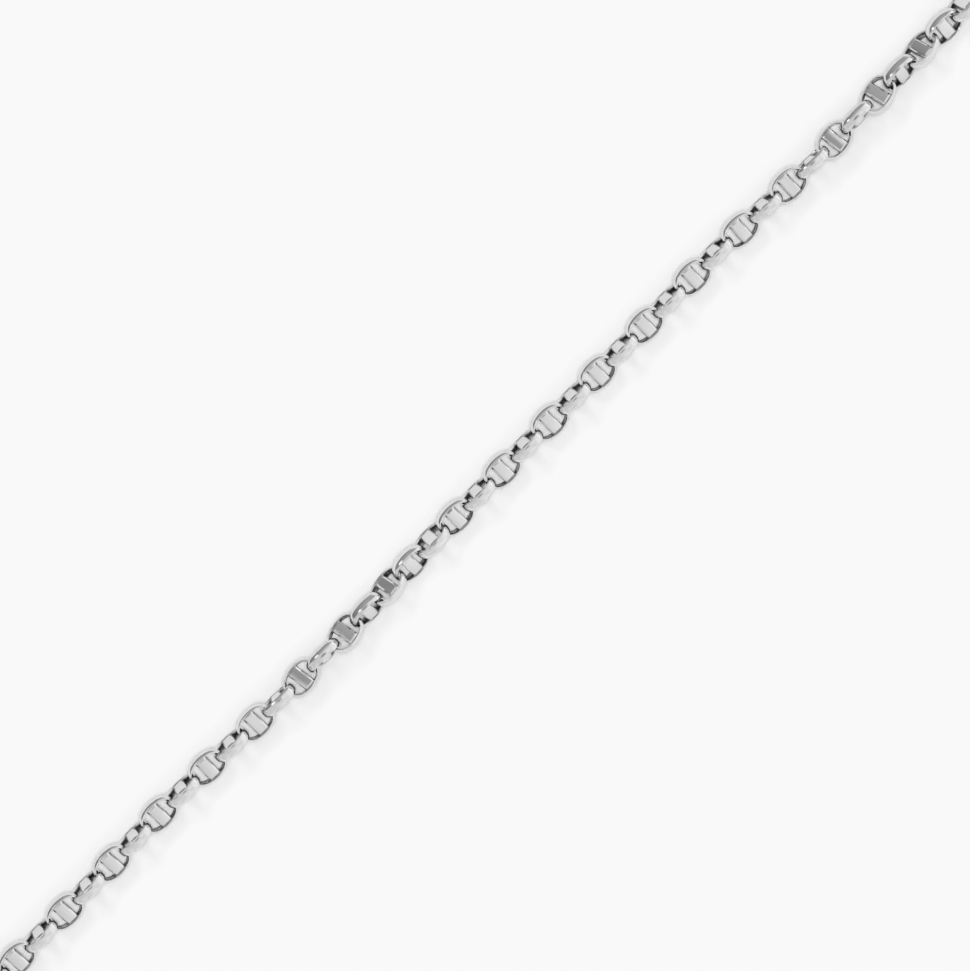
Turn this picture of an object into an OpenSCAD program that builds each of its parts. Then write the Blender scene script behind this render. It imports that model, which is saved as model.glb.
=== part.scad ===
// Mariner link necklace, laid flat in a closed loop: a straight front run, and a plain way round behind it.
// The front run lies along X, the loop closes towards +Y, and everything rests on Z = 0.

/* [Link] */
// Width of a link, across the chain
link_w = 4; // [3.4:0.1:4.8]
// Length of a link, along the chain
link_l = 5.47; // [4.9:0.01:8]
// Wall of the oval ring, seen from its face
wire_t = 0.48; // [0.4:0.02:0.6]
// Depth of the oval ring, from face to face
wire_d = 1.4; // [1.1:0.05:1.6]
// Bevel on the outer edges of the ring, taken off its wall
wire_bevel = 0.2; // [0.1:0.02:0.24]
// Width of the bar that crosses the middle of a link
bar_w = 1.7; // [1.2:0.05:1.9]
// Bevel on the long edges of the bar
bar_bevel = 0.3; // [0.1:0.05:0.4]
// Bevel on the short ends of the bar, where it meets the ring
bar_end_bevel = 0.22; // [0.1:0.02:0.3]
// Air between two links when the chain is drawn taut
link_gap = 0.15; // [0.14:0.01:0.3]

/* [Necklace] */
// Links in the straight front run, an odd number
front_links = 43; // [35:2:47]
// Links in the rest of the loop, two stretches of an even number each
back_links = 84; // [76:4:100]
// Angle that each front corner turns through
corner_turn = 131; // [125:1:136]

/* [Lie] */
// Roll of the resting links about the chain's own line
rest_roll = 22; // [10:1:32]
// Links that each quarter turn of the front run is spread over
twist_links = 13; // [10:1:16]
// Length that a quarter turn takes up
twist_pull = 2.7; // [1:0.1:3]
// Links on each side of the clasp over which the roll settles to level
settle_links = 8; // [4:1:12]
// Slack between two links from the front corners on
back_slack = 0.09; // [0.08:0.01:0.12]
// How far a link leans in its own plane where the run turns
lean_max = 10; // [0:1:12]

/* [Clasp] */
// Length of the clasp
clasp_l = 13; // [12:0.5:18]
// Width of the clasp
clasp_w = 5; // [4.6:0.1:6]
// Thickness of the clasp in the middle
clasp_t = 3; // [2:0.1:3.6]
// Height of the clasp's two ends, where the end links hang on
clasp_end_t = 1.2; // [1:0.1:1.3]
// Wall around the clasp's holes
clasp_wall = 0.75; // [0.65:0.05:0.8]
// Outer radius of the clasp's small eye
eye_r = 2; // [1.9:0.05:2.2]
// Air between the clasp and an end link
clasp_gap = 0.42; // [0.38:0.02:0.46]

/* [Hidden] */
$fn = 64;

// Where the two quarter turns begin, in links from the middle of the front run
TWIST_STARTS = [-12, 11];
// From the start of a quarter turn to where its links lean most, and how far on each side the lean fades out
LEAN_AT = 6;
LEAN_REACH = 6;
// The chain draws together this share of a quarter turn ahead of its roll
PULL_LEAD = 0.03;
// Sideways wander of the front run: [share of half the run, share of link_w]
WANDER = [[-0.85, 0], [-0.65, 0.08], [-0.4, -0.07], [-0.29, -0.07], [-0.08, 0.08], [0.15, 0.11], [0.5, 0.165],
  [0.7, 0.02], [1, 0.12], [1.4, 0]];

// Radius of the oval's ends, as a share of half its width
END_SHARE = 0.93;
// Shares of the wire: its flat crest and half its keel inside, and how much of its wall is left at the bar's ends
CREST_SHARE = 0.2;
KEEL_SHARE = 0.11;
SEAT_SHARE = 0.4;
// Depth of the ring's bevel, to its width
BEVEL_SLOPE = 1.6;

half_w = link_w / 2;
end_r = END_SHARE * half_w;
end_x = link_l / 2 - end_r;
side_r = (end_x ^ 2 + half_w ^ 2 - end_r ^ 2) / (2 * (half_w - end_r));
side_turn = atan2(end_x, side_r - half_w);
half_d = wire_d / 2;
flat_half = half_d - BEVEL_SLOPE * wire_bevel;
crest_t = CREST_SHARE * wire_t;
keel = KEEL_SHARE * wire_d;
bar_len = link_w - 2 * SEAT_SHARE * wire_t;
pitch = link_l - 2 * wire_t - link_gap;

last_front = (front_links - 1) / 2;
last_link = last_front + back_links / 2;
clasp_reach = clasp_l / 2 - clasp_wall - clasp_gap + link_l / 2 - wire_t;
half_run = pitch * last_front - twist_pull - back_slack;
loop_l = 2 * (half_run + (pitch - back_slack) * back_links / 2 + clasp_reach);
sweep = half_run / sin(corner_turn);
corner_arc = PI * corner_turn / 180;
corner_r = (loop_l / 2 - half_run - sweep * (PI - corner_arc)) / PI;
back_r = corner_r + sweep;
back_y = corner_r + sweep * cos(corner_turn);
top_y = back_y + back_r;

// Smooth step from 0 to 1
function ease(t) = let (u = min(max(t, 0), 1)) u * u * (3 - 2 * u);

// Smooth bump of height 1 at 0, gone at -1 and 1
function bump(t) = abs(t) < 1 ? (1 + cos(180 * t)) / 2 : 0;

// Quarter turns made before link n, from 0 to 2, or with a lead in links
function turned(n, lead = 0) = ease((n + lead - TWIST_STARTS[0]) / twist_links)
  + ease((n + lead - TWIST_STARTS[1]) / twist_links);

// Roll of link n about the chain's line: its neighbours stand square to it, and it settles towards the clasp
function even(n) = n % 2 == 0;
function roll(n) = rest_roll * ease((last_link - abs(n)) / settle_links) - 90 * turned(n) + (even(n) ? 0 : 90);

// Lean of link n in its own plane: even links lean at the first quarter turn, odd ones at the second
function lean(n) = lean_max * bump((n - TWIST_STARTS[even(n) ? 0 : 1] - LEAN_AT) / LEAN_REACH);

// Distance of link n along the route from the middle of the front run
function run(n) = pitch * n - twist_pull * (turned(n, PULL_LEAD * twist_links) - 1)
  - sign(n) * back_slack * max(abs(n) - last_front + 1, 0);

// The joint between links n and n + 1 is the centre of the even link's end arc
function joint(n) = even(n) ? run(n) + end_x : run(n + 1) - end_x;

// Height that a link rolled by a degrees and leaning by b reaches above its centre
function reach(a, b = 0) = let (side = side_r - (side_r - half_w) * cos(b))
  max(abs(sin(a)) * side + abs(cos(a)) * flat_half, abs(sin(a)) * (side - wire_bevel) + abs(cos(a)) * half_d);

// Height of link n's centre: the lower of the two kinds of link rests on the surface
function height(n) = max(reach(roll(n), lean(n)), reach(roll(n) + 90));

// Sideways wander at distance s, eased between its chosen points
function wander(s) = let (
    share = s / half_run,
    later = [for (i = [1:len(WANDER) - 1]) if (WANDER[i][0] >= share) i],
    i = len(later) == 0 || share <= WANDER[0][0] ? 0 : later[0]
  ) i == 0 ? 0 : let (a = WANDER[i - 1], b = WANDER[i])
    link_w * (a[1] + (b[1] - a[1]) * ease((share - a[0]) / (b[0] - a[0])));

// Heading of the plain route at distance u from the middle, to either side
function heading(u) =
  u < half_run ? 0
  : u < half_run + corner_r * corner_arc ? (u - half_run) / corner_r * 180 / PI
  : corner_turn + (u - half_run - corner_r * corner_arc) / back_r * 180 / PI;

// Point of the plain route at distance u
function plain(u) = let (a = heading(u))
  u < half_run ? [u, 0]
  : a < corner_turn ? [half_run + corner_r * sin(a), corner_r * (1 - cos(a))]
  : [back_r * sin(a), back_y - back_r * cos(a)];

// Point of the chain's line at distance s, with its wander, centred front to back
function route(s) = let (
    side = s < 0 ? -1 : 1,
    a = heading(abs(s)),
    p = plain(abs(s)),
    w = wander(s)
  ) [side * (p[0] - w * sin(a)), p[1] + w * cos(a) - top_y / 2];

module place(n) {
  from = route(joint(n - 1));
  to = route(joint(n));
  middle = (from + to) / 2;
  along = to - from;
  translate([middle[0], middle[1], height(n)]) rotate([0, 0, atan2(along[1], along[0])])
    rotate([roll(n), 0, 0]) rotate([0, 0, lean(n)]) children();
}

// Section of the ring's wire: flat outside, and keeled inside so that crossed links bear on each other
module wire_section() {
  crest = wire_bevel + crest_t;
  polygon([[0, flat_half], [-wire_bevel, half_d], [-crest, half_d], [-wire_t, keel],
    [-wire_t, -keel], [-crest, -half_d], [-wire_bevel, -half_d], [0, -flat_half]]);
}

// Rectangle of w by h with its corners cut off by b
module bevelled(w, h, b) {
  x = w / 2;
  y = h / 2;
  polygon([[x, y - b], [x - b, y], [b - x, y], [-x, y - b], [-x, b - y], [b - x, -y], [x - b, -y], [x, b - y]]);
}

// Arc of the ring's wire, of outer radius r and centred on the X axis, that turns by a to each side of it
module wire_arc(r, a) {
  rotate([0, 0, -a]) rotate_extrude(angle = 2 * a) translate([r, 0]) wire_section();
}

// Oval ring: two tight end arcs joined by two wide side arcs
module ring() {
  for (side = [0, 180]) rotate([0, 0, side]) {
    translate([end_x, 0, 0]) wire_arc(end_r, 90 - side_turn);
    translate([0, half_w - side_r, 0]) rotate([0, 0, 90]) wire_arc(side_r, side_turn);
  }
}

// Bar across the middle, bevelled along its long edges and at its ends
module bar() {
  intersection() {
    rotate([90, 0, 0]) linear_extrude(bar_len, center = true) bevelled(bar_w, wire_d, bar_bevel);
    rotate([90, 0, 90]) linear_extrude(bar_w, center = true) bevelled(bar_len, wire_d, bar_end_bevel);
  }
}

// One soldered mariner link, lying face up with its length along X
module link() {
  union() {
    ring();
    bar();
  }
}

// The straight run that is seen from above
module front_chain() {
  color("silver") for (n = [-last_front:last_front]) place(n) link();
}

// The rest of the loop, from each end of the front run to the clasp
module back_chain() {
  color("silver") for (n = [last_front + 1:last_link], side = [-1, 1]) place(side * n) link();
}

// Rounded bar from x0 to x1, with end radii r0 and r1
module tapered_slot(x0, r0, x1, r1) {
  translate([x0, 0]) circle(r0);
  translate([x1, 0]) circle(r1);
  polygon([[x0, -r0], [x1, -r1], [x1, r1], [x0, r0]]);
}

// Closed clasp in one piece: a long hook loop to the left, a small eye to the right
module clasp() {
  hook_r = clasp_w / 2;
  hook_x = hook_r - clasp_l / 2;
  eye_x = clasp_l / 2 - eye_r;
  shoulder = eye_x - eye_r + clasp_wall / 2;
  color("silver") translate([0, top_y / 2, height(last_link)]) difference() {
    intersection() {
      linear_extrude(clasp_t, center = true) union() {
        tapered_slot(hook_x, hook_r, 0, hook_r);
        tapered_slot(0, hook_r, shoulder, eye_r);
        tapered_slot(shoulder, eye_r, eye_x, eye_r);
      }
      rotate([90, 0, 0]) linear_extrude(2 * clasp_w, center = true) clasp_side(shoulder);
    }
    linear_extrude(2 * clasp_t, center = true) union() {
      tapered_slot(hook_x, hook_r - clasp_wall, -clasp_wall, hook_r - clasp_wall);
      translate([eye_x, 0]) circle(eye_r - clasp_wall);
    }
  }
}

// Side view of the clasp: thick in the middle, thin at both ends
module clasp_side(shoulder) {
  x = clasp_l / 2;
  thick = clasp_t / 2;
  thin = clasp_end_t / 2;
  polygon([[x, thin], [shoulder, thin], [shoulder - (thick - thin), thick], [-shoulder / 2, thick], [-x, thin],
    [-x, -thin], [-shoulder / 2, -thick], [shoulder - (thick - thin), -thick], [shoulder, -thin], [x, -thin]]);
}

front_chain();
back_chain();
clasp();
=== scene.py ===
import math

import bmesh
import bpy
from mathutils import Matrix, Vector


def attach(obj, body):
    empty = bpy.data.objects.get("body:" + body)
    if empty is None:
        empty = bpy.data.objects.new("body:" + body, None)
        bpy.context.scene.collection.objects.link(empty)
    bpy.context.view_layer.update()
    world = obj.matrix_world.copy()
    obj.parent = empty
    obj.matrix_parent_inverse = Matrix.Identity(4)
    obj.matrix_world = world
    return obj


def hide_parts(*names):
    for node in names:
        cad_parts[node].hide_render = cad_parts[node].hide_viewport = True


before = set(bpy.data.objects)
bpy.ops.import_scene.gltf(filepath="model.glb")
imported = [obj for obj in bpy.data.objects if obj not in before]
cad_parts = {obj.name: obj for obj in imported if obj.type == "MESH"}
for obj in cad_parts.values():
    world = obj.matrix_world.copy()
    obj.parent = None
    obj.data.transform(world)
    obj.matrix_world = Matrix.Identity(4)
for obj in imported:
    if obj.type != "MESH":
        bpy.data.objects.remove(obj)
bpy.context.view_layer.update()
scene = bpy.context.scene
scene.view_settings.view_transform = "Standard"
scene.view_settings.use_curve_mapping = True
mm = 0.001
mergeWithin = 1e-8   # points nearer than this are one point, in metres
paperWhite = 0.947   # the table stays just under full white: tones above this are held there

tones = scene.view_settings.curve_mapping
tones.extend = "HORIZONTAL"
allChannels = tones.curves[3]
allChannels.points[-1].location = (1.0, paperWhite)
allChannels.points.new(paperWhite, paperWhite)
for point in allChannels.points:
    point.handle_type = "VECTOR"
tones.update()
print("frame loaded:", ", ".join(sorted(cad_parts)))


# camera: straight down, turned so that the front run climbs from lower left to upper right
camera = {
    "distance": 0.6,
    "acrossFrame": 0.12513,   # what the frame spans at the chain's height, in metres
    "aim": (0.00136, -0.04722, 0.0021),
    "turn": -45,
    "sensor": 36,
    "nearest": 0.01,
}

cameraData = bpy.data.cameras.new("studioCamera")
cameraData.sensor_width = camera["sensor"]
cameraData.lens = camera["sensor"] * camera["distance"] / camera["acrossFrame"]
cameraData.clip_start = camera["nearest"]
studioCamera = bpy.data.objects.new("studioCamera", cameraData)
studioCamera.location = Vector(camera["aim"]) + Vector((0, 0, camera["distance"]))
studioCamera.rotation_euler = (0, 0, math.radians(camera["turn"]))
scene.collection.objects.link(studioCamera)
scene.camera = studioCamera
print("camera set")


# small helpers for node trees
def addNode(tree, kind, inputs=None, **settings):
    made = tree.nodes.new(kind)
    for name, value in settings.items():
        setattr(made, name, value)
    for name, value in (inputs or {}).items():
        if isinstance(value, bpy.types.NodeSocket):
            tree.links.new(value, made.inputs[name])
        else:
            made.inputs[name].default_value = value
    return made


def addSockets(tree, direction, sockets):
    made = {}
    for name, kind, value in sockets:
        made[name] = tree.interface.new_socket(name=name, in_out=direction, socket_type=kind)
        if value is not None:
            made[name].default_value = value
    return made


silver = {
    "metal": (0.715, 0.715, 0.72, 1),
    # the dark colour that follows is painted shade in the link's crevices as well as tarnish
    "tarnishAndShade": (0.03, 0.029, 0.028, 1),
    "shadeAndTarnishStrength": 0.97,
    "shadeAndTarnishThins": (0.35, 0.65, 0.55),   # the smears where it is thinnest and full, and its least share
    "roughSmears": (0.3, 0.7),            # the smears where the metal has its low and its high roughness
    "roughLow": 0.07,
    "roughHigh": 0.15,
    "creviceRough": 0.35,
    "lineHeight": 0.000002,               # polishing lines, in metres
    "patternShift": 37.0,                 # how far apart in the pattern the links take their marks
}
# waves in the pattern for each millimetre: along the polishing lines, across them, and of the soft smears
chainPolish = {"Along": 3.0, "Across": 34.0, "Smears": 1.1}
claspPolish = {"Along": 26.0, "Across": 3.0, "Smears": 0.7}


# shader groups: what handling and polishing leave on silver, and the painted shade with tarnish in its
# crevices
def makePolishGroup():
    tree = bpy.data.node_groups.new("polishMarks", "ShaderNodeTree")
    addSockets(tree, "INPUT", [
        ("Position", "NodeSocketVector", None),
        ("Along", "NodeSocketFloat", 3.0),
        ("Across", "NodeSocketFloat", 34.0),
        ("Smears", "NodeSocketFloat", 1.1),
        ("Shift", "NodeSocketFloat", 0.0),
    ])
    addSockets(tree, "OUTPUT", [("Lines", "NodeSocketFloat", None), ("Smears", "NodeSocketFloat", None)])
    given = addNode(tree, "NodeGroupInput")
    shift = addNode(tree, "ShaderNodeMath", {
        0: given.outputs["Shift"], 1: silver["patternShift"]}, operation="MULTIPLY")
    moved = addNode(tree, "ShaderNodeVectorMath", {
        0: given.outputs["Position"], 1: shift.outputs[0]}, operation="ADD")
    stretch = addNode(tree, "ShaderNodeCombineXYZ", {
        "X": given.outputs["Across"], "Y": given.outputs["Along"], "Z": given.outputs["Across"]})
    lined = addNode(tree, "ShaderNodeVectorMath", {
        0: moved.outputs[0], 1: stretch.outputs[0]}, operation="MULTIPLY")
    lines = addNode(tree, "ShaderNodeTexNoise", {"Vector": lined.outputs[0], "Scale": 1.0, "Detail": 2.0})
    smears = addNode(tree, "ShaderNodeTexNoise", {
        "Vector": moved.outputs[0], "Scale": given.outputs["Smears"], "Detail": 3.0, "Roughness": 0.6})
    addNode(tree, "NodeGroupOutput", {"Lines": lines.outputs["Fac"], "Smears": smears.outputs["Fac"]})
    return tree


def makeShadeAndTarnishGroup():
    tree = bpy.data.node_groups.new("tarnishAndPaintedShade", "ShaderNodeTree")
    addSockets(tree, "INPUT", [
        ("Metal", "NodeSocketColor", (0.8, 0.8, 0.8, 1)),
        ("ShadeAndTarnishColour", "NodeSocketColor", (0.2, 0.2, 0.2, 1)),
        ("ShadeWithTarnish", "NodeSocketFloat", 0.0),
        ("Smears", "NodeSocketFloat", 0.5),
        ("Strength", "NodeSocketFloat", 0.6),
    ])
    addSockets(tree, "OUTPUT", [("Color", "NodeSocketColor", None), ("Mask", "NodeSocketFloat", None)])
    given = addNode(tree, "NodeGroupInput")
    thinAt, fullAt, thinnest = silver["shadeAndTarnishThins"]
    broken = addNode(tree, "ShaderNodeMapRange", {
        "Value": given.outputs["Smears"], "From Min": thinAt, "From Max": fullAt,
        "To Min": thinnest, "To Max": 1.0})
    mask = addNode(tree, "ShaderNodeMath", {
        0: given.outputs["ShadeWithTarnish"], 1: broken.outputs[0]}, operation="MULTIPLY")
    amount = addNode(tree, "ShaderNodeMath", {
        0: mask.outputs[0], 1: given.outputs["Strength"]}, operation="MULTIPLY")
    colour = addNode(tree, "ShaderNodeMix", {
        0: amount.outputs[0], 6: given.outputs["Metal"], 7: given.outputs["ShadeAndTarnishColour"]}, data_type="RGBA")
    addNode(tree, "NodeGroupOutput", {"Color": colour.outputs[2], "Mask": amount.outputs[0]})
    return tree


polishMarks = makePolishGroup()
tarnishAndPaintedShade = makeShadeAndTarnishGroup()


def makeSilver(name, polish):
    made = bpy.data.materials.new(name)
    made.use_nodes = True
    tree = made.node_tree
    shader = tree.nodes["Principled BSDF"]
    shader.inputs["Metallic"].default_value = 1.0
    place = addNode(tree, "ShaderNodeAttribute", attribute_name="linkPlace")
    shadeAndTarnish = addNode(tree, "ShaderNodeAttribute", attribute_name="shadeAndTarnish")
    shade = addNode(tree, "ShaderNodeAttribute", attribute_name="linkShade")
    marks = addNode(tree, "ShaderNodeGroup", node_tree=polishMarks)
    for socket, value in polish.items():
        marks.inputs[socket].default_value = value
    tree.links.new(place.outputs["Vector"], marks.inputs["Position"])
    tree.links.new(shade.outputs["Fac"], marks.inputs["Shift"])
    tarnishAndShade = addNode(tree, "ShaderNodeGroup", node_tree=tarnishAndPaintedShade)
    tarnishAndShade.inputs["Metal"].default_value = silver["metal"]
    tarnishAndShade.inputs["ShadeAndTarnishColour"].default_value = silver["tarnishAndShade"]
    tarnishAndShade.inputs["Strength"].default_value = silver["shadeAndTarnishStrength"]
    tree.links.new(shadeAndTarnish.outputs["Fac"], tarnishAndShade.inputs["ShadeWithTarnish"])
    tree.links.new(marks.outputs["Smears"], tarnishAndShade.inputs["Smears"])
    tree.links.new(tarnishAndShade.outputs["Color"], shader.inputs["Base Color"])
    lowAt, highAt = silver["roughSmears"]
    rough = addNode(tree, "ShaderNodeMapRange", {
        "Value": marks.outputs["Smears"], "From Min": lowAt, "From Max": highAt,
        "To Min": silver["roughLow"], "To Max": silver["roughHigh"]})
    dull = addNode(tree, "ShaderNodeMix", {
        0: tarnishAndShade.outputs["Mask"], 2: rough.outputs[0], 3: silver["creviceRough"]}, data_type="FLOAT")
    tree.links.new(dull.outputs[0], shader.inputs["Roughness"])
    bump = addNode(tree, "ShaderNodeBump", {
        "Height": marks.outputs["Lines"], "Distance": silver["lineHeight"], "Strength": 1.0})
    tree.links.new(bump.outputs[0], shader.inputs["Normal"])
    return made


chainSilver = makeSilver("chainSilver", chainPolish)
claspSilver = makeSilver("claspSilver", claspPolish)
print("silver made")


# one link: an oval ring and the bar soldered across it
link = {   # millimetres
    "width": 4.0,
    "length": 5.47,
    "endShare": 0.93,              # radius of the oval's ends, as a share of half its width
    "wall": 0.48,
    "depth": 1.4,
    # half the wire's section, each point out from the oval's line and up: from the middle of the outer wall
    # over the crest to the keel inside
    "wire": [(0.01, 0), (-0.01, 0.37), (-0.19, 0.67), (-0.25, 0.7), (-0.33, 0.67), (-0.41, 0.45),
             (-0.48, 0.154)],
    "cornerCut": 0.14,             # share of each side of the section that goes to rounding its corners
    "endSteps": 14,
    "sideSteps": 6,
    "barWidth": 1.7,
    "barFace": (1.16, 2.62),       # flat face of the bar, across and along it
    "faceCrown": (0.06, 0.04),     # how far the face falls away to its edges, across and along
    "chamferDrop": 0.16,
    "endRun": 0.34,                # the slope beyond the face's ends: its length and its fall
    "endDrop": 0.19,
    "barReach": 1.76,              # from the middle of the link to the bar's ends, inside the ring's wall
    "edgeSoft": 0.02,
    "sharpFrom": 30,               # edges are sharp from this many degrees
    "faceSharpFrom": 8,            # and those round the bar's face from this many
    "faceFlat": 0.99,              # what counts as the bar's face: how nearly it looks straight up
    "seamAt": 1.66,                # the dark line where the bar meets the ring: painted shade and tarnish
    "seamWidth": 0.05,
    "seamDepth": 0.7,
    "hollowHeight": (0.5, 0.28),   # painted shade and tarnish darken the ring's inner side from the first height to the second
    "hollowRise": (0.2, 0.35),     # how much higher beside the bar, and how far that reaches
}

halfWidth = link["width"] / 2
endRadius = link["endShare"] * halfWidth
endX = link["length"] / 2 - endRadius
sideRadius = (endX ** 2 + halfWidth ** 2 - endRadius ** 2) / (2 * (halfWidth - endRadius))
sideTurn = math.atan2(endX, sideRadius - halfWidth)


def meshFrom(name, points, faces):
    made = bpy.data.meshes.new(name)
    made.from_pydata([tuple(p) for p in points], [], faces)
    work = bmesh.new()
    work.from_mesh(made)
    bmesh.ops.remove_doubles(work, verts=work.verts, dist=mergeWithin)
    bmesh.ops.recalc_face_normals(work, faces=work.faces)
    work.to_mesh(made)
    work.free()
    return made


def cutCorners(points):   # each side keeps its middle, so every corner becomes a short new side
    shares = (link["cornerCut"], 1 - link["cornerCut"])
    return [p.lerp(q, share) for p, q in zip(points, points[1:] + points[:1]) for share in shares]


def loft(rings, closed):
    count = len(rings[0])
    points = [p for ring in rings for p in ring]
    faces = []
    for i in range(len(rings) if closed else len(rings) - 1):
        here, there = i * count, (i + 1) % len(rings) * count
        for j in range(count):
            k = (j + 1) % count
            faces.append((here + j, here + k, there + k, there + j))
    if not closed:
        faces += [tuple(range(count)), tuple(range(len(points) - count, len(points)))]
    return points, faces


def makeRing():
    upper = [Vector(point) for point in link["wire"]]
    section = cutCorners(upper + [Vector((p.x, -p.y)) for p in reversed(upper[1:])])
    quarter, drop = math.pi / 2, sideRadius - halfWidth
    arcs = [   # centre, radius, where it starts, how far it turns, steps
        ((endX, 0), endRadius, sideTurn - quarter, math.pi - 2 * sideTurn, link["endSteps"]),
        ((0, -drop), sideRadius, quarter - sideTurn, 2 * sideTurn, link["sideSteps"]),
        ((-endX, 0), endRadius, quarter + sideTurn, math.pi - 2 * sideTurn, link["endSteps"]),
        ((0, drop), sideRadius, 3 * quarter - sideTurn, 2 * sideTurn, link["sideSteps"]),
    ]
    rings = []
    for (x, y), radius, start, turn, steps in arcs:
        for step in range(steps):
            angle = start + turn * step / steps
            out = Vector((math.cos(angle), math.sin(angle), 0))
            rings.append([
                (Vector((x, y, 0)) + out * (radius + p.x) + Vector((0, 0, p.y))) * mm for p in section])
    return meshFrom("ring", *loft(rings, True))


def makeBar():
    flat, face = (size / 2 for size in link["barFace"])
    wide, tall, soft = link["barWidth"] / 2, link["depth"] / 2, link["edgeSoft"]
    low, slope = tall - link["chamferDrop"], (wide - flat) / link["chamferDrop"]
    ends = [(face / 2, 0.0), (face, 0.0), (face + soft, soft / 3), (face + link["endRun"], link["endDrop"]),
            (link["barReach"], link["endDrop"])]
    stations = [(-y, drop) for y, drop in reversed(ends)] + [(0.0, 0.0)] + ends
    crownAcross, crownAlong = link["faceCrown"]
    rings = []
    for y, drop in stations:
        top, edge = tall - drop, min(flat + drop * slope, wide - soft)
        side = min(low, top - 2 * soft)
        upper = [(0.0, top), (edge / 2, top), (edge - soft, top), (edge, top - soft / 3),
                 (wide - soft, side + soft / 2), (wide, side - soft)]
        crown = [crownAcross * (x / wide) ** 2 + crownAlong * (y / link["barReach"]) ** 2 for x, _ in upper]
        upper = [(x, z - sunk) for (x, z), sunk in zip(upper, crown)]
        right = upper + [(x, -z) for x, z in reversed(upper)]
        loop = right + [(-x, z) for x, z in reversed(right[1:-1])]
        rings.append([Vector((x, y, z)) * mm for x, z in loop])
    return meshFrom("bar", *loft(rings, False))


def markEdges(mesh):   # the bar's flat face ends at a crisp edge, all else is smooth up to a real corner
    mesh.set_sharp_from_angle(angle=math.radians(link["sharpFrom"]))
    sharp = mesh.attributes["sharp_edge"].data
    faceEdge = math.radians(link["faceSharpFrom"])
    work = bmesh.new()
    work.from_mesh(mesh)
    for edge in work.edges:
        middle = (edge.verts[0].co + edge.verts[1].co) / 2 / mm
        onBar = abs(middle.x) < link["barWidth"] / 2 and abs(middle.y) < link["barReach"]
        flattest = max(abs(face.normal.z) for face in edge.link_faces)
        if onBar and flattest > link["faceFlat"] and edge.calc_face_angle(0) > faceEdge:
            sharp[edge.index].value = True
    work.free()


def plainMesh(made):   # what an object's modifiers make of it
    depsgraph = bpy.context.evaluated_depsgraph_get()
    return bpy.data.meshes.new_from_object(
        made.evaluated_get(depsgraph), preserve_all_data_layers=True, depsgraph=depsgraph)


def makeLink():
    ring = bpy.data.objects.new("linkRing", makeRing())
    bar = bpy.data.objects.new("linkBar", makeBar())
    for made in (ring, bar):
        scene.collection.objects.link(made)
    solder = ring.modifiers.new("solder", "BOOLEAN")
    solder.operation = "UNION"
    solder.solver = "EXACT"
    solder.object = bar
    mesh = plainMesh(ring)
    for made in (ring, bar):
        bpy.data.objects.remove(made)
    mesh.shade_smooth()
    markEdges(mesh)
    # painted shade and tarnish: a dark line where the bar meets the ring, the bar's whole flanks, and the
    # ring's inner side
    inner = halfWidth - link["wall"]
    flank = link["barWidth"] / 2 - link["edgeSoft"]
    hollowTop, hollowDeep = link["hollowHeight"]
    riseHeight, riseReach = link["hollowRise"]
    places, shadeAndTarnishAmounts = [], []
    for vertex in mesh.vertices:
        x, y, z = vertex.co / mm
        places += [x, y, z]
        fromWall = math.hypot(max(abs(x) - endX, 0), y) - inner
        rise = riseHeight * math.exp(-((abs(x) - link["barWidth"] / 2) / riseReach) ** 2)
        inside = min(max((hollowTop + rise - abs(z)) / (hollowTop - hollowDeep), 0), 1)
        inside *= fromWall < link["wall"] / 2
        onBar = abs(x) < link["barWidth"] / 2 + link["edgeSoft"]
        seam = link["seamDepth"] * math.exp(-((abs(y) - link["seamAt"]) / link["seamWidth"]) ** 2)
        onFlank = abs(x) > flank and abs(z) < link["depth"] / 2 - link["chamferDrop"] and onBar
        shadeAndTarnishAmounts.append(max(seam, 1.0 if onFlank else 0.0) if onBar else inside)
    mesh.attributes.new("linkPlace", "FLOAT_VECTOR", "POINT").data.foreach_set("vector", places)
    mesh.attributes.new("shadeAndTarnish", "FLOAT", "POINT").data.foreach_set("value", shadeAndTarnishAmounts)
    return mesh


linkMesh = makeLink()
print("one link:", len(linkMesh.vertices), "points,", len(linkMesh.polygons), "faces")


# how the chain lies: the same rule as the CAD part's, in millimetres and degrees
lie = {
    "frontLinks": 43,
    "backLinks": 84,
    "linkGap": 0.15,
    "cornerTurn": 131,
    "restRoll": 22,             # the chain lies a little rolled, and evens out near the clasp
    "settleLinks": 8,
    "twistLinks": 13,           # a quarter turn takes so many links, and starts at these two
    "twistStarts": (-12, 11),
    "twistPull": 2.7,           # each quarter turn shortens the chain by this much
    "pullLead": 0.03,           # the pull runs ahead of the turn by this share of it
    "backSlack": 0.09,
    "leanMax": 10,
    "leanAt": 6,
    "leanReach": 6,
    "cadWall": 0.38,            # half the flat outer wall of the CAD link, and the width of its bevel:
    "cadBevel": 0.2,            # they set how high it lies
    # where along half the front run, and how far to the side in widths of a link
    "wander": [(-0.85, 0), (-0.65, 0.08), (-0.4, -0.07), (-0.29, -0.07), (-0.08, 0.08), (0.15, 0.11),
               (0.5, 0.165), (0.7, 0.02), (1, 0.12), (1.4, 0)],
}
clasp = {"length": 13, "wall": 0.75, "gap": 0.42}

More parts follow.
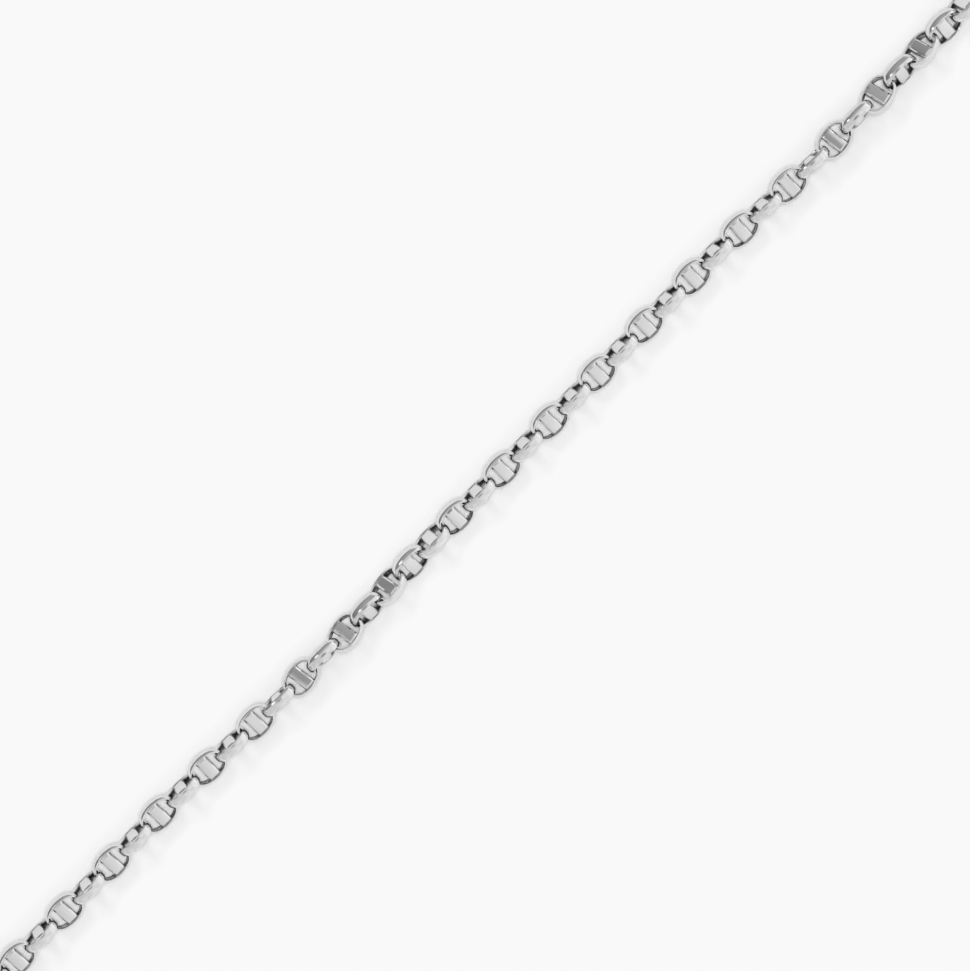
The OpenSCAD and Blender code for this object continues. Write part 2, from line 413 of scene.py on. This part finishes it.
pitch = link["length"] - 2 * link["wall"] - lie["linkGap"]
lastFront = (lie["frontLinks"] - 1) // 2
lastLink = lastFront + lie["backLinks"] // 2
claspReach = clasp["length"] / 2 - clasp["wall"] - clasp["gap"] + link["length"] / 2 - link["wall"]
halfRun = pitch * lastFront - lie["twistPull"] - lie["backSlack"]
loopLength = 2 * (halfRun + (pitch - lie["backSlack"]) * lie["backLinks"] / 2 + claspReach)
cornerArc = math.radians(lie["cornerTurn"])
sweep = halfRun / math.sin(cornerArc)
cornerRadius = (loopLength / 2 - halfRun - sweep * (math.pi - cornerArc)) / math.pi
backRadius = cornerRadius + sweep
backY = cornerRadius + sweep * math.cos(cornerArc)
topY = backY + backRadius


def ease(t):
    t = min(max(t, 0), 1)
    return t * t * (3 - 2 * t)


def turned(n, lead=0):   # how many of the two quarter turns link n has made
    return sum(ease((n - start) / lie["twistLinks"] + lead) for start in lie["twistStarts"])


def roll(n):
    settled = lie["restRoll"] * ease((lastLink - abs(n)) / lie["settleLinks"])
    return settled - 90 * turned(n) + (0 if n % 2 == 0 else 90)


def lean(n):
    t = (n - lie["twistStarts"][n % 2] - lie["leanAt"]) / lie["leanReach"]
    return lie["leanMax"] * (1 + math.cos(math.pi * t)) / 2 if abs(t) < 1 else 0


def run(n):   # where link n is along the chain
    slack = lie["backSlack"] * max(abs(n) - lastFront + 1, 0)
    return pitch * n - lie["twistPull"] * (turned(n, lie["pullLead"]) - 1) - math.copysign(slack, n)


def joint(n):   # where links n and n + 1 hold each other, along the chain
    return run(n) + endX if n % 2 == 0 else run(n + 1) - endX


def reach(a, b=0):   # how far down a link comes, rolled by a and leaning by b
    a, b = math.radians(a), math.radians(b)
    side = sideRadius - (sideRadius - halfWidth) * math.cos(b)
    s, c = abs(math.sin(a)), abs(math.cos(a))
    return max(s * side + c * lie["cadWall"], s * (side - lie["cadBevel"]) + c * link["depth"] / 2)


def height(n):
    return max(reach(roll(n), lean(n)), reach(roll(n) + 90))


def wander(s):
    share = s / halfRun
    for (fromShare, fromPart), (toShare, toPart) in zip(lie["wander"], lie["wander"][1:]):
        if fromShare < share <= toShare:
            t = ease((share - fromShare) / (toShare - fromShare))
            return link["width"] * (fromPart + (toPart - fromPart) * t)
    return 0


def plain(u):   # point and heading of the plain route
    if u < halfRun:
        return u, 0, 0
    a = (u - halfRun) / cornerRadius
    if a < cornerArc:
        return halfRun + cornerRadius * math.sin(a), cornerRadius * (1 - math.cos(a)), a
    a = cornerArc + (u - halfRun - cornerRadius * cornerArc) / backRadius
    return backRadius * math.sin(a), backY - backRadius * math.cos(a), a


def route(s):
    x, y, a = plain(abs(s))
    w = wander(s)
    return Vector((math.copysign(x - w * math.sin(a), s), y + w * math.cos(a) - topY / 2, 0))


def pose(n):   # place and turn of link n
    start, end = route(joint(n - 1)), route(joint(n))
    along = end - start
    middle = (start + end) / 2 + Vector((0, 0, height(n)))
    turn = (Matrix.Rotation(math.atan2(along.y, along.x), 3, "Z")
            @ Matrix.Rotation(math.radians(roll(n)), 3, "X")
            @ Matrix.Rotation(math.radians(lean(n)), 3, "Z"))
    return middle * mm, turn.to_euler("XYZ")


# geometry nodes: a link on every point, turned as its point says
def makeChainTree():
    tree = bpy.data.node_groups.new("chainOfLinks", "GeometryNodeTree")
    sockets = addSockets(tree, "INPUT", [
        ("Points", "NodeSocketGeometry", None),
        ("Link", "NodeSocketObject", None),
        ("Link scale", "NodeSocketFloat", 1.0),
        ("Shade seed", "NodeSocketInt", 7),
        ("Silver", "NodeSocketMaterial", None),
    ])
    addSockets(tree, "OUTPUT", [("Chain", "NodeSocketGeometry", None)])
    given = addNode(tree, "NodeGroupInput")
    part = addNode(tree, "GeometryNodeObjectInfo", {
        "Object": given.outputs["Link"]}, transform_space="ORIGINAL")
    turn = addNode(tree, "GeometryNodeInputNamedAttribute", {"Name": "linkTurn"}, data_type="FLOAT_VECTOR")
    rotation = addNode(tree, "FunctionNodeEulerToRotation", {0: turn.outputs[0]})
    placed = addNode(tree, "GeometryNodeInstanceOnPoints", {
        "Points": given.outputs["Points"], "Instance": part.outputs["Geometry"],
        "Rotation": rotation.outputs[0], "Scale": given.outputs["Link scale"]})
    random = addNode(tree, "FunctionNodeRandomValue", {
        "Seed": given.outputs["Shade seed"]}, data_type="FLOAT")
    shaded = addNode(tree, "GeometryNodeStoreNamedAttribute", {
        "Geometry": placed.outputs[0], "Name": "linkShade", "Value": random.outputs[1]},
        data_type="FLOAT", domain="INSTANCE")
    real = addNode(tree, "GeometryNodeRealizeInstances", {0: shaded.outputs[0]})
    dressed = addNode(tree, "GeometryNodeSetMaterial", {
        "Geometry": real.outputs[0], "Material": given.outputs["Silver"]})
    addNode(tree, "NodeGroupOutput", {"Chain": dressed.outputs[0]})
    return tree, {name: socket.identifier for name, socket in sockets.items()}


chainTree, chainSockets = makeChainTree()
linkSource = bpy.data.objects.new("linkSource", linkMesh)
scene.collection.objects.link(linkSource)


def makeChain(name, numbers, seed, *nodes):
    poses = [pose(n) for n in numbers]
    points = bpy.data.meshes.new(name + "Points")
    points.from_pydata([tuple(p) for p, _ in poses], [], [])
    turns = points.attributes.new("linkTurn", "FLOAT_VECTOR", "POINT")
    for i, (_, turn) in enumerate(poses):
        turns.data[i].vector = tuple(turn)
    host = bpy.data.objects.new(name + "Host", points)
    scene.collection.objects.link(host)
    modifier = host.modifiers.new("links", "NODES")
    modifier.node_group = chainTree
    modifier[chainSockets["Link"]] = linkSource
    modifier[chainSockets["Link scale"]] = 1.0
    modifier[chainSockets["Shade seed"]] = seed
    modifier[chainSockets["Silver"]] = chainSilver
    mesh = plainMesh(host)
    mesh.name = name
    host.modifiers.remove(modifier)
    bpy.data.objects.remove(host)
    piece = bpy.data.objects.new(name, mesh)
    scene.collection.objects.link(piece)
    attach(piece, "root")
    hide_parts(*nodes)
    triangles = sum(len(p.vertices) - 2 for p in mesh.polygons)
    print(name + ":", len(poses), "links,", triangles, "triangles")


makeChain("frontRun", range(-lastFront, lastFront + 1), 3, "front_chain")
makeChain("backRunLeft", range(-lastLink, -lastFront), 11, "back_chain")
makeChain("backRunRight", range(lastFront + 1, lastLink + 1), 19, "back_chain")
bpy.data.objects.remove(linkSource)


# clasp: the CAD part's closed clasp, cast and tumbled smooth
claspFinish = {"mergeWithin": 1e-7, "voxel": 0.00008, "smoothing": 14, "factor": 0.5}


def makeClasp():
    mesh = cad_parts["clasp"].data.copy()
    work = bmesh.new()
    work.from_mesh(mesh)
    bmesh.ops.remove_doubles(work, verts=work.verts, dist=claspFinish["mergeWithin"])
    work.to_mesh(mesh)
    work.free()
    cast = bpy.data.objects.new("claspCast", mesh)
    scene.collection.objects.link(cast)
    remesh = cast.modifiers.new("cast", "REMESH")
    remesh.mode = "VOXEL"
    remesh.voxel_size = claspFinish["voxel"]
    tumble = cast.modifiers.new("tumble", "SMOOTH")
    tumble.factor = claspFinish["factor"]
    tumble.iterations = claspFinish["smoothing"]
    smooth = plainMesh(cast)
    bpy.data.objects.remove(cast)
    smooth.shade_smooth()
    smooth.materials.clear()
    smooth.materials.append(claspSilver)
    place = smooth.attributes.new("linkPlace", "FLOAT_VECTOR", "POINT")
    for i, vertex in enumerate(smooth.vertices):
        place.data[i].vector = vertex.co / mm
    piece = bpy.data.objects.new("castClasp", smooth)
    scene.collection.objects.link(piece)
    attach(piece, "root")
    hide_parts("clasp")
    print("castClasp:", sum(len(p.vertices) - 2 for p in smooth.polygons), "triangles")


makeClasp()


# studio: a white table under a bright sky, which has a dim part to the upper left and the camera's own dark
# spot straight above, and three lamps: two soft ones that the metal doesn't mirror, and a window that it does
studio = {
    "tableColour": 0.655,
    "tableGlow": 0.01,
    "tableRadius": 3.0,
    "tableSides": 96,
    # each sky: at the horizon, what is added straight above, and the share by which it brightens to the right
    "dimSky": (0.31, 0.17, 0.45),
    "brightSky": (0.98, -0.11, 0.2),
    "dimFrom": 0.32,            # how far towards the upper left the dim part begins, and where it is full
    "dimTo": 0.52,
    "lensShade": 0.55,          # the camera's dark spot, and the heights where it begins and is full
    "lensFrom": 0.974,
    "lensTo": 0.988,
    "cloudScale": 2.6,          # the room is not even: soft patches in what the metal mirrors
    "cloudStrength": 0.7,
    "backdrop": 0.95,
    "lampDistance": 0.9,
}
lamps = {
    "fillLamp": {"power": 4.5, "size": 0.28, "towards": (0.0, -0.02, 1.0), "inGloss": False},
    "sideLamp": {"power": 3.0, "size": 0.5, "towards": (0.0, 0.8, 0.6), "inGloss": False},
    "windowLamp": {"power": 0.2, "size": 0.18, "towards": (-0.34, 0.56, 0.75), "inGloss": True},
}


def makeTable():
    work = bmesh.new()
    bmesh.ops.create_circle(work, cap_ends=True, radius=studio["tableRadius"], segments=studio["tableSides"])
    mesh = bpy.data.meshes.new("table")
    work.to_mesh(mesh)
    work.free()
    made = bpy.data.materials.new("whiteTable")
    made.use_nodes = True
    shader = made.node_tree.nodes["Principled BSDF"]
    grey = studio["tableColour"]
    shader.inputs["Base Color"].default_value = (grey, grey, grey, 1)
    shader.inputs["Roughness"].default_value = 1.0
    shader.inputs["Specular IOR Level"].default_value = 0.0
    shader.inputs["Emission Color"].default_value = (1, 1, 1, 1)
    shader.inputs["Emission Strength"].default_value = studio["tableGlow"]
    mesh.materials.append(made)
    table = bpy.data.objects.new("table", mesh)
    scene.collection.objects.link(table)


def makeWorld():
    world = bpy.data.worlds.new("studioWorld")
    scene.world = world
    world.use_nodes = True
    tree = world.node_tree
    tree.nodes.clear()
    direction = addNode(tree, "ShaderNodeTexCoord")
    parts = addNode(tree, "ShaderNodeSeparateXYZ", {0: direction.outputs["Generated"]})
    side = addNode(tree, "ShaderNodeMapRange", {
        "Value": parts.outputs["Y"], "From Min": studio["dimTo"], "From Max": studio["dimFrom"]},
        interpolation_type="SMOOTHSTEP")
    lens = addNode(tree, "ShaderNodeMapRange", {
        "Value": parts.outputs["Z"], "From Min": studio["lensFrom"], "From Max": studio["lensTo"],
        "To Min": 1.0, "To Max": 1 - studio["lensShade"]}, interpolation_type="SMOOTHSTEP")
    skies = []
    for base, rise, gain in (studio["dimSky"], studio["brightSky"]):
        up = addNode(tree, "ShaderNodeMath", {
            0: parts.outputs["Z"], 1: rise, 2: base}, operation="MULTIPLY_ADD")
        right = addNode(tree, "ShaderNodeMath", {
            0: parts.outputs["X"], 1: gain, 2: 1.0}, operation="MULTIPLY_ADD")
        skies.append(addNode(tree, "ShaderNodeMath", {
            0: up.outputs[0], 1: right.outputs[0]}, operation="MULTIPLY"))
    dim, bright = skies
    sky = addNode(tree, "ShaderNodeMix", {
        0: side.outputs[0], 2: dim.outputs[0], 3: bright.outputs[0]}, data_type="FLOAT")
    noise = addNode(tree, "ShaderNodeTexNoise", {
        "Vector": direction.outputs["Generated"], "Scale": studio["cloudScale"], "Detail": 2.0})
    clouds = addNode(tree, "ShaderNodeMath", {
        0: noise.outputs["Fac"], 1: studio["cloudStrength"], 2: 1 - studio["cloudStrength"] / 2},
        operation="MULTIPLY_ADD")
    clear = addNode(tree, "ShaderNodeMath", {0: sky.outputs[0], 1: lens.outputs[0]}, operation="MULTIPLY")
    total = addNode(tree, "ShaderNodeMath", {0: clear.outputs[0], 1: clouds.outputs[0]}, operation="MULTIPLY")
    lit = addNode(tree, "ShaderNodeBackground", {"Color": (1, 1, 1, 1), "Strength": total.outputs[0]})
    seen = addNode(tree, "ShaderNodeBackground", {"Color": (1, 1, 1, 1), "Strength": studio["backdrop"]})
    path = addNode(tree, "ShaderNodeLightPath")
    mixed = addNode(tree, "ShaderNodeMixShader", {
        0: path.outputs["Is Camera Ray"], 1: lit.outputs[0], 2: seen.outputs[0]})
    addNode(tree, "ShaderNodeOutputWorld", {"Surface": mixed.outputs[0]})


def makeLamp(name, power, size, towards, inGloss):
    data = bpy.data.lights.new(name, "AREA")
    data.shape = "DISK"
    data.size = size
    data.energy = power
    lamp = bpy.data.objects.new(name, data)
    away = Vector(towards).normalized()
    lamp.location = Vector(camera["aim"]) + away * studio["lampDistance"]
    lamp.rotation_euler = away.to_track_quat("Z", "Y").to_euler()
    lamp.visible_camera = False
    lamp.visible_glossy = inGloss
    scene.collection.objects.link(lamp)


makeTable()
makeWorld()
for lampName, lampFacts in lamps.items():
    makeLamp(lampName, **lampFacts)
print("studio ready")
